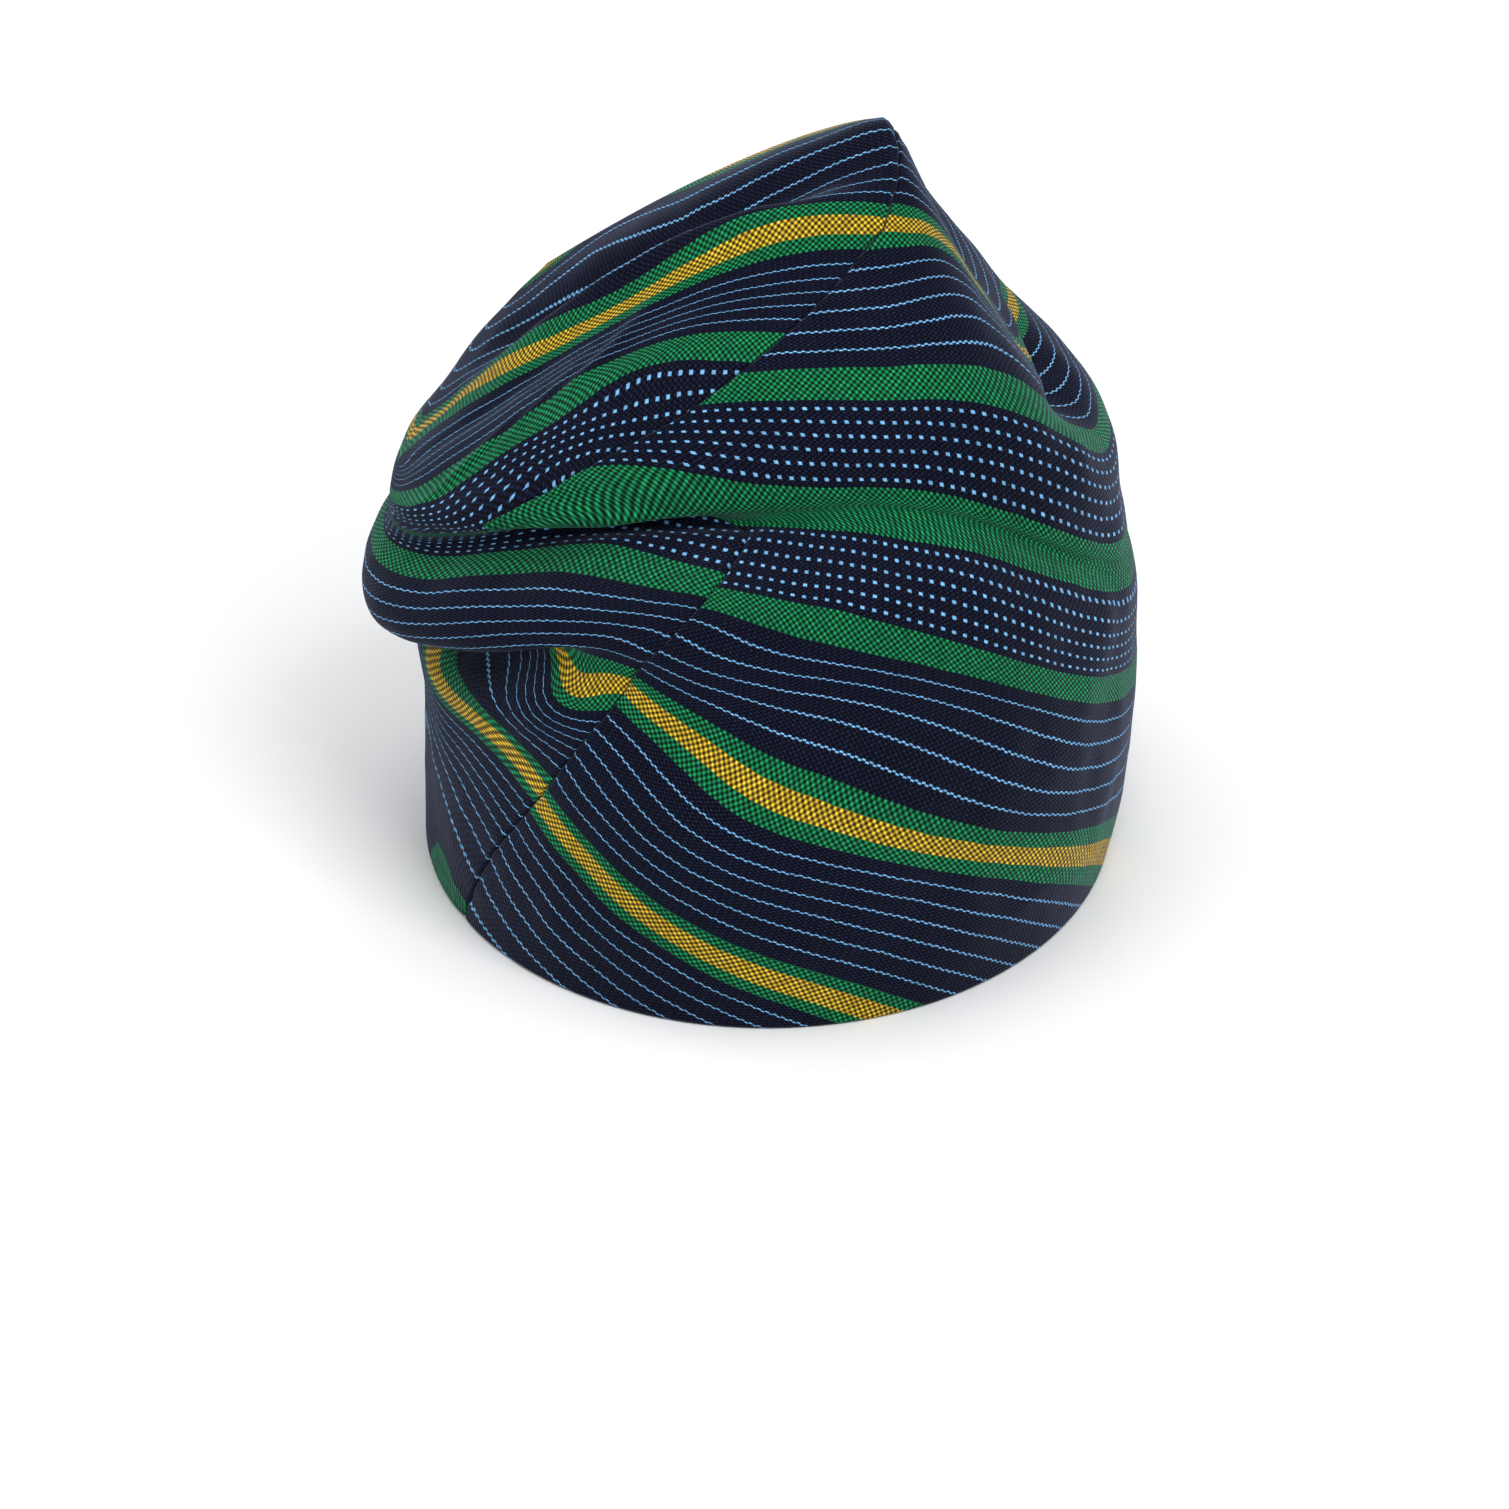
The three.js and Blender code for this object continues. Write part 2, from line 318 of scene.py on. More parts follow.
# %% Creases and puckers
CREASE_COLUMNS = ("bearing level run rise slant depth").split()
CREASES = [
    [-16, 0.300, 16, 0.050, -0.10, 1.6],    # the dent below the flap, right of the seam
    [-28, 0.400, 14, 0.030, 0.00, 0.8],     # where the nose's lip fades out
    [-36, 0.588, 12, 0.007, -0.12, 1.6],    # between the flap's two lobes
    [-32, 0.508, 20, 0.009, 0.00, 5.0],     # the pocket under the flap
    [-52, 0.760, 20, 0.018, 0.10, 1.0],     # a groove below the ridge
    [-36, 0.745, 9, 0.014, 0.30, -1.3],     # three small ridges down the left slope
    [-46, 0.705, 8, 0.012, 0.35, -1.2],
    [-57, 0.655, 8, 0.012, 0.35, -1.1],
    [-41, 0.725, 8, 0.012, 0.35, 1.0],      # and the dents between them
    [-51, 0.680, 8, 0.012, 0.35, 1.0],
    [-20, 0.600, 12, 0.020, 0.00, -0.8],    # the flap's soft swelling by the seam
    [50, 0.600, 40, 0.020, -0.05, 0.6],     # a shallow hollow above the long crease
]
LUMPS = [(38, 0.9), (95, 0.4)]   # the cloth's lumps: how many to a metre, and how high in mm
SEAM_ROUND = 0.0013              # how roundly each half turns in at the seam
PUCKER_DEPTH = 0.00022
PUCKER_PITCH = 0.0078            # from one pucker to the next along the seam
PUCKER_REACH = 0.004             # how far from the seam they fade


def creases(bearing, level):
    """How far the creases push the face in, in metres."""
    depth = np.zeros_like(bearing)
    for row in CREASES:
        crease = dict(zip(CREASE_COLUMNS, row))
        turn = turn_from(bearing, crease["bearing"])
        rise = level - crease["level"] - crease["slant"] * turn
        shape = bump(turn, 0, math.radians(crease["run"])) * bump(rise, 0, crease["rise"])
        depth += shape * crease["depth"] / 1000
    return depth


def unevenness(points):
    """Soft lumps of worn cloth, in metres."""
    spots = [Vector(point) for point in points.reshape(-1, 3)]
    lumps = [sum(noise.noise(spot * count) * high for count, high in LUMPS) for spot in spots]
    return np.array(lumps).reshape(points.shape[:-1]) / 1000


def seam_roll(away, run):
    """How far the face turns in near a seam: a round shoulder, and puckers along the seam."""
    shoulder = np.clip(1 - away / SEAM_ROUND, 0, 1)
    roll = SEAM_ROUND * (1 - np.sqrt(1 - shoulder ** 2))
    pucker = PUCKER_DEPTH * (1 + np.sin(run * 2 * math.pi / PUCKER_PITCH))
    return roll + pucker * bump(away, 0, PUCKER_REACH)


print("creases:", len(CREASES))

# %% [markdown]
# ## The two faces
# The outer face is the smooth surface with its dents pushed in, rolled inwards at the seam and
# the hem. The inner face lies one wall further in. The Solidify modifier could make the wall, but
# here the hem is thicker and the seam keeps an exact gap, and both are simpler as numbers.

# %% Faces of each half
HEM_ROUND = 0.0012               # how roundly the hem's fold turns
HEM_END, HEM_TAPER = 0.7, 0.6    # where the wall starts to thin, and over how much, in HEM_RISE
QUIET_RIM = 0.02                 # the dents fade out this near the rim
QUIET_TOP = 0.05                 # and this near the top, as a share of the levels
TOP_ROLL, TOP_REACH = 0.3, 0.01  # how much of the seam's roll is left at the top, and from where


def panel_faces(start_at, end_at):
    """(bearing, level, outer face, inner face) of one half, as grids of rows and columns."""
    level = np.repeat(LEVELS[:, None], len(PLACES), axis=1)
    start, end = start_at(level), end_at(level)
    bearing = start + (end - start) * PLACES[None, :]
    plain = face_point(bearing, level)
    normal = face_normal(bearing, level)
    normal[-1] = unit(normal[-1] + normal[-1, ::-1])
    normal[0, :, 2] = 0
    normal = unit(normal)

    step = np.linalg.norm(np.diff(plain, axis=1), axis=2)
    from_start = np.concatenate([np.zeros((len(LEVELS), 1)), np.cumsum(step, axis=1)], axis=1)
    away = np.minimum(from_start, from_start[:, -1:] - from_start)
    climb = np.linalg.norm(np.diff(plain, axis=0), axis=2)
    run = np.concatenate([np.zeros((1, len(PLACES))), np.cumsum(climb, axis=0)], axis=0)

    hem = np.clip(1 - run / HEM_ROUND, 0, 1)
    inset = HEM_ROUND * (1 - np.sqrt(1 - hem ** 2))
    quiet = np.clip(run / QUIET_RIM, 0, 1) * np.clip((1 - level) / QUIET_TOP, 0, 1)
    inset = inset + seam_roll(away, run) * np.clip((1 - level) / TOP_REACH, TOP_ROLL, 1)
    dents = (creases(bearing, level) - unevenness(plain)) * quiet
    inset = inset + dents
    outer = plain - normal * inset[..., None]

    above = np.clip((level * CLOTH_RISE - HEM_RISE * HEM_END) / (HEM_RISE * HEM_TAPER), 0, 1)
    above = above * above * (3 - 2 * above)
    wall = HEM_WALL + (CLOTH_WALL - HEM_WALL) * above
    inner = plain - normal * (wall + np.maximum(dents, 0))[..., None]

    for column, inward in ((0, 1), (-1, -2)):
        across = unit(plain[:, inward] - plain[:, column])
        for face in (outer, inner):
            face[:, column] += across * SEAM_GAP / 2
    for face in (outer, inner):
        face[0, :, 2] = 0
    return bearing, level, outer, inner


def front_seam(level):
    """The seam's bearing on the near side, in radians."""
    return np.radians(along(SEAM_COLUMNS, SEAM, "front", level))


def back_seam(level):
    """The seam's bearing on the far side, in radians."""
    return np.radians(along(SEAM_COLUMNS, SEAM, "back", level))


halves = {
    "right": panel_faces(front_seam, back_seam),
    "left": panel_faces(back_seam, lambda level: front_seam(level) + 2 * math.pi),
}
corners = np.concatenate([faces[2].reshape(-1, 3) for faces in halves.values()])
low, high = corners.min(axis=0), corners.max(axis=0)
to_origin = -np.array([(low[0] + high[0]) / 2, (low[1] + high[1]) / 2, low[2]])
for faces in halves.values():
    faces[2][:] += to_origin
    faces[3][:] += to_origin
print("moved to the frame by, mm:", np.round(to_origin * 1000, 2))

# %% [markdown]
# ## Unrolling the cloth
# The weave has to follow the cloth, not the camera or the grid. One direction is known: the
# distance across the stripes. The other, along the stripes, is found by asking that it grow by
# one millimetre for each millimetre walked along a stripe, as nearly as the whole sheet allows.
# That is a least-squares problem, solved here by conjugate gradients.

# %% Measure along the stripes
SHORTEST = 2e-4        # metres, so that a very short edge doesn't outweigh the rest
CLOSE_ENOUGH = 1e-9    # the share of the first error at which the work stops
MOST_ROUNDS = 1500


def along_stripes(points, across):
    """The distance along the stripes at each grid point, in metres."""
    by_column, by_row = np.gradient(points, axis=1), np.gradient(points, axis=0)
    change_column, change_row = np.gradient(across, axis=1), np.gradient(across, axis=0)
    way = unit(by_column * change_row[..., None] - by_row * change_column[..., None])
    side = np.diff(points, axis=1)
    up = np.diff(points, axis=0)
    want_side = (side * (way[:, 1:] + way[:, :-1]) / 2).sum(axis=2)
    want_up = (up * (way[1:] + way[:-1]) / 2).sum(axis=2)
    weight_side = 1 / np.maximum(np.linalg.norm(side, axis=2), SHORTEST)
    weight_up = 1 / np.maximum(np.linalg.norm(up, axis=2), SHORTEST)

    def gather(flow_side, flow_up):
        total = np.zeros_like(across)
        total[:, 1:] += flow_side
        total[:, :-1] -= flow_side
        total[1:] += flow_up
        total[:-1] -= flow_up
        return total

    def apply(u):
        return gather(weight_side * np.diff(u, axis=1), weight_up * np.diff(u, axis=0))

    diagonal = np.zeros_like(across)
    diagonal[:, 1:] += weight_side
    diagonal[:, :-1] += weight_side
    diagonal[1:] += weight_up
    diagonal[:-1] += weight_up

    first = np.zeros((len(across), 1))
    u = np.concatenate([first, np.cumsum(want_side, axis=1)], axis=1)
    left_over = gather(weight_side * want_side, weight_up * want_up) - apply(u)
    scaled = left_over / diagonal
    heading, power = scaled, (left_over * scaled).sum()
    goal = power * CLOSE_ENOUGH
    rounds = 0
    while power > goal and rounds < MOST_ROUNDS:
        pushed = apply(heading)
        length = power / (heading * pushed).sum()
        u = u + length * heading
        left_over = left_over - length * pushed
        scaled = left_over / diagonal
        new_power = (left_over * scaled).sum()
        heading, power = scaled + heading * new_power / power, new_power
        rounds += 1
    return u - u.mean(), rounds


print("the unrolling takes at most", MOST_ROUNDS, "rounds")

# %% [markdown]
# ## The panels as meshes
# The grids become closed meshes. The top of the crown is a fold of the cloth, so there the near
# and the far columns share their points. The places on the cloth go into a UV map, in metres.

# %% Build the two panels
def panel_mesh(half, bearing, level, outer, inner):
    """One half of the cap as a closed, smooth mesh with the cloth's places as its UV map."""
    name = half + "_half"
    rows, columns = bearing.shape
    across = across_stripes(bearing, level, half)
    on, rounds = along_stripes(outer, across)
    place = np.stack([on, across], axis=-1)

    index = np.arange(rows * columns).reshape(rows, columns)
    middle = columns // 2
    index[-1, columns - middle:] = index[-1, :middle][::-1]
    total = rows * columns
    points = np.concatenate([outer.reshape(-1, 3), inner.reshape(-1, 3)])

    quads, places = [], []

    def add(a, b, c, d, uv_a, uv_b, uv_c, uv_d):
        quads.append(np.stack([a.ravel(), b.ravel(), c.ravel(), d.ravel()], axis=1))
        places.append(np.stack([uv.reshape(-1, 2) for uv in (uv_a, uv_b, uv_c, uv_d)], axis=1))

    box = (slice(None, -1), slice(None, -1)), (slice(None, -1), slice(1, None))
    box = box + ((slice(1, None), slice(1, None)), (slice(1, None), slice(None, -1)))
    o, i, p = index, index + total, place
    add(*[o[s] for s in box], *[p[s] for s in box])
    back = (box[1], box[0], box[3], box[2])
    add(*[i[s] for s in back], *[p[s] for s in back])
    add(i[:-1, 0], o[:-1, 0], o[1:, 0], i[1:, 0], p[:-1, 0], p[:-1, 0], p[1:, 0], p[1:, 0])
    add(i[:-1, -1], i[1:, -1], o[1:, -1], o[:-1, -1], p[:-1, -1], p[1:, -1], p[1:, -1], p[:-1, -1])
    add(i[0, :-1], i[0, 1:], o[0, 1:], o[0, :-1], p[0, :-1], p[0, 1:], p[0, 1:], p[0, :-1])
    quads, places = np.concatenate(quads), np.concatenate(places)

    used = np.unique(quads)
    renumber = np.zeros(len(points), int)
    renumber[used] = np.arange(len(used))
    mesh = bpy.data.meshes.new(name)
    mesh.from_pydata(points[used].tolist(), [], renumber[quads].tolist())
    uv = mesh.uv_layers.new(name="cloth")
    uv.data.foreach_set("uv", places.reshape(-1).astype(np.float32))
    mesh.polygons.foreach_set("use_smooth", [True] * len(mesh.polygons))
    mesh.validate()
    mesh.update()
    piece = bpy.data.objects.new(name, mesh)
    bpy.context.scene.collection.objects.link(piece)
    print(name, "quads:", len(quads), "rounds of unrolling:", rounds)
    return piece


panels = {side: panel_mesh(side, *faces) for side, faces in halves.items()}

# %% [markdown]
# ## Helpers for the finishes
# A finish is a tree of nodes, and a tree of plain sums gets long. So a few helpers add a node and
# link it in one call. Image textures would be shorter, but they blur close up and repeat.

# %% Node helpers
def new_group(name, inputs, outputs):
    """A shader node group with number inputs and named outputs, and its two end nodes."""
    group = bpy.data.node_groups.new(name, "ShaderNodeTree")
    for label, value in inputs.items():
        socket = group.interface.new_socket(label, in_out="INPUT", socket_type="NodeSocketFloat")
        socket.default_value = value
    for label, kind in outputs.items():
        group.interface.new_socket(label, in_out="OUTPUT", socket_type=kind)
    return group, group.nodes.new("NodeGroupInput"), group.nodes.new("NodeGroupOutput")


def fill(tree, socket, value):
    """Links a socket's value, or sets it to a plain number or colour."""
    if isinstance(value, bpy.types.NodeSocket):
        tree.links.new(value, socket)
    else:
        socket.default_value = value


def sum_of(tree, kind, *values, clamp=False):
    """A Math node's result."""
    node = tree.nodes.new("ShaderNodeMath")
    node.operation = kind
    node.use_clamp = clamp
    for socket, value in zip(node.inputs, values):
        fill(tree, socket, value)
    return node.outputs[0]


def blend_of(tree, share, first, second, kind="MIX"):
    """Two colours mixed."""
    node = tree.nodes.new("ShaderNodeMix")
    node.data_type = "RGBA"
    node.blend_type = kind
    fill(tree, node.inputs[0], share)
    fill(tree, node.inputs[6], first)
    fill(tree, node.inputs[7], second)
    return node.outputs[2]


def srgb(red, green, blue):
    """A colour from the screen's 0 to 255 numbers, as the linear numbers that shaders use."""
    def linear(value):
        value = value / 255
        return value / 12.92 if value <= 0.04045 else ((value + 0.055) / 1.055) ** 2.4
    return (linear(red), linear(green), linear(blue), 1.0)


print("a middling grey in linear numbers:", [round(part, 3) for part in srgb(128, 128, 128)])

# %% [markdown]
# ## The weave
# Aso oke is a plain weave with the warp packed so tightly that it hides the weft. Each warp
# thread shows as a row of short floats, and the floats of the next thread stand halfway between
# them, like bricks. The navy ground is of fine threads, and the green and yellow bands are of
# thicker ones. One node group makes the floats for both, from the thread sizes it is given.

# %% Plain weave
FINE = 0.52             # mm from one fine thread to the next
BOLD = FINE * 8 / 5     # mm from one thick thread to the next
FLOAT = 0.78            # mm, the length of a float in the ground and the bands


def weave_group():
    """Floats of a plain weave: how high the thread stands, and a number for each float."""
    group, start, end = new_group(
        "Plain weave", {"Along": 0, "Across": 0, "Float length": FLOAT, "Thread pitch": FINE},
        {"Height": "NodeSocketFloat", "Chance": "NodeSocketFloat"})
    u = sum_of(group, "DIVIDE", start.outputs["Along"], start.outputs["Float length"])
    v = sum_of(group, "DIVIDE", start.outputs["Across"], start.outputs["Thread pitch"])
    waves = [sum_of(group, "COSINE", sum_of(group, "MULTIPLY", value, math.pi))
             for value in (u, sum_of(group, "SUBTRACT", v, 0.5))]
    checker = sum_of(group, "MULTIPLY", *waves)
    height = sum_of(group, "MULTIPLY_ADD", checker, 0.5, 0.5)
    cells = group.nodes.new("ShaderNodeCombineXYZ")
    fill(group, cells.inputs[0], sum_of(group, "ROUND", u))
    fill(group, cells.inputs[1], sum_of(group, "FLOOR", v))
    chance = group.nodes.new("ShaderNodeTexWhiteNoise")
    chance.noise_dimensions = "2D"
    fill(group, chance.inputs["Vector"], cells.outputs[0])
    fill(group, end.inputs["Height"], height)
    fill(group, end.inputs["Chance"], chance.outputs["Value"])
    return group


PLAIN_WEAVE = weave_group()
print("weave group:", PLAIN_WEAVE.name)

# %% [markdown]
# ## The stripes
# The same order of stripes repeats on both sides of the middle green one, so the chart counts
# fine threads outwards from there. Bands are a colour ramp with hard steps. Light blue lines come
# in families: where the first one lies, how far apart they are and how many there are. A rope is
# two threads that take turns, a dotted line is one thicker thread that dives under every second
# weft.

# %% Stripe chart
NAVY = srgb(31, 37, 70)
GREEN = srgb(30, 158, 98)
YELLOW = srgb(255, 212, 62)
BLUE = srgb(112, 170, 216)

BANDS = [               # the fine thread where each band starts, and its colour
    (0, GREEN), (13, NAVY), (51, GREEN), (67, NAVY),
    (125, GREEN), (132, YELLOW), (142, GREEN), (149, NAVY),
    (216, GREEN), (223, YELLOW), (233, GREEN), (240, NAVY),
    (317, GREEN), (333, NAVY), (371, GREEN),
]
LAST_THREAD = 400       # the chart's edge
DOTTED, ROPE = "dotted", "rope"
LINE_COLUMNS = ("kind middle spacing count").split()
LINES = [[DOTTED, 17.5, 6, 6], [ROPE, 76, 10, 5], [ROPE, 158, 10, 6], [ROPE, 248, 10, 7],
         [DOTTED, 337.5, 6, 6]]
DOT_LENGTH = 1.4        # mm, and as far from one to the next
DOT_HALF = 0.38         # mm, half a dot's height
TURN = 0.95             # mm, how long each thread of a rope stays on its side
TURN_SIDE = 0.14        # mm, how far to the side
ROPE_HALF = 0.19        # mm, half a rope's thread
EDGE = 2.5              # how sharply a line or a dot ends
CHANGE = 4.0            # how sharply one thread of a rope gives way to the other


def chart_ramp(group, threads, colours):
    """A colour ramp with hard steps where the bands start."""
    ramp = group.nodes.new("ShaderNodeValToRGB")
    ramp.color_ramp.interpolation = "CONSTANT"
    steps = ramp.color_ramp.elements
    while len(steps) < len(BANDS):
        steps.new(0.5)
    for step, (first, _), colour in zip(steps, BANDS, colours):
        step.position = first / LAST_THREAD
        step.color = colour
    fill(group, ramp.inputs[0], sum_of(group, "DIVIDE", threads, LAST_THREAD))
    return ramp.outputs[0]


def chart_group():
    """The striped chart: the bands' colours, and how much of a light blue line is here."""
    group, start, end = new_group(
        "Aso oke stripes", {"Across": 0, "Along": 0},
        {"Colour": "NodeSocketColor", "Band": "NodeSocketFloat", "Line": "NodeSocketFloat"})

    def wave(length):
        turns = sum_of(group, "DIVIDE", start.outputs["Along"], length / math.pi)
        return sum_of(group, "COSINE", turns)

    threads = sum_of(group, "DIVIDE", sum_of(group, "ABSOLUTE", start.outputs["Across"]), FINE)
    colours = [colour for _, colour in BANDS]
    masks = [(0, 0, 0, 1) if colour is NAVY else (1, 1, 1, 1) for colour in colours]

    turn = wave(TURN)
    side = sum_of(group, "MULTIPLY", sum_of(group, "SIGN", turn), TURN_SIDE / FINE)
    held = sum_of(group, "MULTIPLY", sum_of(group, "ABSOLUTE", turn), CHANGE, clamp=True)
    dots = sum_of(group, "MULTIPLY_ADD", wave(DOT_LENGTH), EDGE, -0.5, clamp=True)
    line = 0.0
    for row in LINES:
        family = dict(zip(LINE_COLUMNS, row))
        from_first = sum_of(group, "SUBTRACT", threads, family["middle"])
        number = sum_of(group, "ROUND", sum_of(group, "DIVIDE", from_first, family["spacing"]))
        number = sum_of(group, "MAXIMUM", number, 0.0)
        number = sum_of(group, "MINIMUM", number, family["count"] - 1)
        nearest = sum_of(group, "MULTIPLY", number, family["spacing"])
        off = sum_of(group, "SUBTRACT", from_first, nearest)
        if family["kind"] == DOTTED:
            half, here = DOT_HALF / FINE, dots
        else:
            half, here = ROPE_HALF / FINE, held
            off = sum_of(group, "SUBTRACT", off, side)
        away = sum_of(group, "DIVIDE", sum_of(group, "ABSOLUTE", off), half)
        on = sum_of(group, "MULTIPLY_ADD", away, -EDGE, EDGE + 0.5, clamp=True)
        line = sum_of(group, "MAXIMUM", sum_of(group, "MULTIPLY", on, here), line)
    fill(group, end.inputs["Colour"], chart_ramp(group, threads, colours))
    fill(group, end.inputs["Band"], chart_ramp(group, threads, masks))
    fill(group, end.inputs["Line"], line)
    return group


STRIPES = chart_group()
print("bands:", len(BANDS), "families of lines:", len(LINES))

# %% [markdown]
# ## The cloth's finish
# The material puts the two groups together. The threads' height makes the bump and darkens the
# colour too: the gaps between floats go dark, partly for the dark weft and partly as painted
# shade. Painted shade also marks the navy ground's ribs. Each float differs a little, and the
# cloth as a whole fades and darkens in broad, soft patches. Cotton and rayon thread has a soft
# sheen at grazing angles, which the shader's own sheen gives. The helpers come first, because the
# sewing thread needs some too.

# %% Helpers for materials
WANDER = 0.5            # mm, how far the threads stray from a straight line


def new_material(name):
    """A material, its node tree and its shader."""
    material = bpy.data.materials.new(name)
    material.use_nodes = True
    return material, material.node_tree, material.node_tree.nodes["Principled BSDF"]


def patches(tree, scale, detail, roughness=0.5):
    """Cloudy patches that stay with the piece, from 0 to 1."""
    body = tree.nodes.new("ShaderNodeTexCoord").outputs["Object"]
    node = tree.nodes.new("ShaderNodeTexNoise")
    fill(tree, node.inputs["Vector"], body)
    node.inputs["Scale"].default_value = scale
    node.inputs["Detail"].default_value = detail
    node.inputs["Roughness"].default_value = roughness
    return node.outputs["Fac"]


def add_relief(tree, shader, height, depth, strength):
    """Lets a height show as relief, so many metres deep."""
    relief = tree.nodes.new("ShaderNodeBump")
    relief.inputs["Strength"].default_value = strength
    relief.inputs["Distance"].default_value = depth
    fill(tree, relief.inputs["Height"], height)
    fill(tree, shader.inputs["Normal"], relief.outputs[0])


def cloth_place(tree):
    """Where a point lies on the cloth, along and across the stripes, in millimetres."""
    place = tree.nodes.new("ShaderNodeUVMap")
    place.uv_map = "cloth"
    parts = tree.nodes.new("ShaderNodeSeparateXYZ")
    fill(tree, parts.inputs[0], place.outputs[0])
    wander = sum_of(tree, "SUBTRACT", patches(tree, 160, 1), 0.5)
    stray = sum_of(tree, "MULTIPLY", wander, WANDER)
    on = sum_of(tree, "MULTIPLY", parts.outputs[0], 1000)
    return on, sum_of(tree, "MULTIPLY_ADD", parts.outputs[1], 1000, stray)


def placed(tree, group, on, across):
    """A group's node that is told where it is on the cloth."""
    node = tree.nodes.new("ShaderNodeGroup")
    node.node_tree = group
    fill(tree, node.inputs["Along"], on)
    fill(tree, node.inputs["Across"], across)
    return node


def by_band(tree, band, ground, banded):
    """One value on the ground and another on a band."""
    node = tree.nodes.new("ShaderNodeMix")
    for socket, value in ((0, band), (2, ground), (3, banded)):
        fill(tree, node.inputs[socket], value)
    return node.outputs[0]


print("threads stray by up to", WANDER / 2, "mm either way")

# %% [markdown]
# Between the floats the thread lies deep and dark: the dark is partly the dark weft and partly
# painted shade, with lower yarn painted darker. The weft lifts the ground in soft ribs, which are
# only painted, as light crests and shaded hollows. A light line covers the ground's floats. All of
# this is one grey tone that the colours are multiplied by, so that it can be judged by itself.

# %% Cloth material
RIB = 1.5                 # mm from one rib of the navy ground to the next, along the stripes
# How dark the gaps get: partly the dark weft, partly painted shade.
GAP = 0.02                # how light the gaps between the floats are
THREAD_RELIEF = 0.00022   # metres that a float stands up


def yarn_tone_and_shade(tree, on, height, chance, band, line):
    """How light the yarn is: gaps darkened partly for the weft and partly as painted shade, painted
    shade between ribs, floats that differ and worn patches.
    """
    # Painted shade and dark weft: the lower the yarn lies between floats, the darker it is painted.
    lit = sum_of(tree, "MULTIPLY_ADD", sum_of(tree, "POWER", height, 2.2), 1 - GAP, GAP)
    # Painted shade: the navy ground's ribs are painted with light crests and darker hollows.
    turns = sum_of(tree, "MULTIPLY", on, 2 * math.pi / RIB)
    rib_shading = sum_of(tree, "MULTIPLY_ADD", sum_of(tree, "COSINE", turns), 0.25, 0.75)
    lit = sum_of(tree, "MULTIPLY", lit, by_band(tree, band, rib_shading, 1.0))
    lit = sum_of(tree, "MAXIMUM", lit, line)
    vary = sum_of(tree, "MULTIPLY_ADD", chance, 0.5, 0.75)
    fade = sum_of(tree, "MULTIPLY_ADD", patches(tree, 22, 4), 0.5, 0.75)
    tone = sum_of(tree, "MULTIPLY", lit, sum_of(tree, "MULTIPLY", vary, fade))
    grey = tree.nodes.new("ShaderNodeCombineColor")
    for socket in grey.inputs[:3]:
        fill(tree, socket, tone)
    return grey.outputs[0]


def cloth_material():
    """Striped aso oke, warp-faced, read from the UV map in metres."""
    material, tree, shader = new_material("aso_oke_cloth")
    on, across = cloth_place(tree)
    stripes = placed(tree, STRIPES, on, across)
    band, line = stripes.outputs["Band"], stripes.outputs["Line"]
    fine, bold = [placed(tree, PLAIN_WEAVE, on, across) for _ in range(2)]
    for weave, pitch in ((fine, FINE), (bold, BOLD)):
        weave.inputs["Float length"].default_value = FLOAT
        weave.inputs["Thread pitch"].default_value = pitch
    height, chance = [by_band(tree, band, fine.outputs[name], bold.outputs[name])
                      for name in ("Height", "Chance")]

    yarn = blend_of(tree, line, stripes.outputs["Colour"], BLUE)
    # This tone carries painted shade in the gaps between floats and between the ribs.
    tone = yarn_tone_and_shade(tree, on, height, chance, band, line)
    fill(tree, shader.inputs["Base Color"], blend_of(tree, 1.0, yarn, tone, "MULTIPLY"))
    rough = sum_of(tree, "MULTIPLY_ADD", patches(tree, 60, 3), 0.2, 0.68)
    fill(tree, shader.inputs["Roughness"], rough)

    fuzz = sum_of(tree, "MULTIPLY", patches(tree, 2600, 2, 0.6), 0.35)
    lift = sum_of(tree, "MULTIPLY", height, sum_of(tree, "MULTIPLY_ADD", band, 0.6, 0.6))
    lift = sum_of(tree, "MAXIMUM", lift, line)
    add_relief(tree, shader, sum_of(tree, "ADD", lift, fuzz), THREAD_RELIEF, 1.0)

    shader.inputs["Specular IOR Level"].default_value = 0.06
    shader.inputs["Sheen Weight"].default_value = 0.14
    shader.inputs["Sheen Roughness"].default_value = 0.4
    shader.inputs["Sheen Tint"].default_value = (0.62, 0.70, 1.0, 1.0)
    return material


CLOTH_FINISH = cloth_material()
for panel in panels.values():
    panel.data.materials.append(CLOTH_FINISH)
print("material:", CLOTH_FINISH.name)

# %% [markdown]
# ## Stitches
# The hem is caught down on the inside by a row of small stitches, and the two halves are held
# together by thread at the bottom of the seam's groove. Stitches repeat along a path, so a
# Geometry Nodes tree lays them: it spaces points along the path and puts a short length of
# thread at each. The result is then turned into a plain mesh.

# %% Thread and stitch tree
def thread_material():
    """Dark sewing thread, twisted, slightly glossy."""
    material, tree, shader = new_material("sewing_thread")
    twist = patches(tree, 2200, 3)
    fill(tree, shader.inputs["Base Color"],
         blend_of(tree, twist, srgb(12, 13, 24), srgb(48, 52, 84)))
    add_relief(tree, shader, twist, 0.0001, 0.6)
    shader.inputs["Roughness"].default_value = 0.6
    return material


THREAD = thread_material()


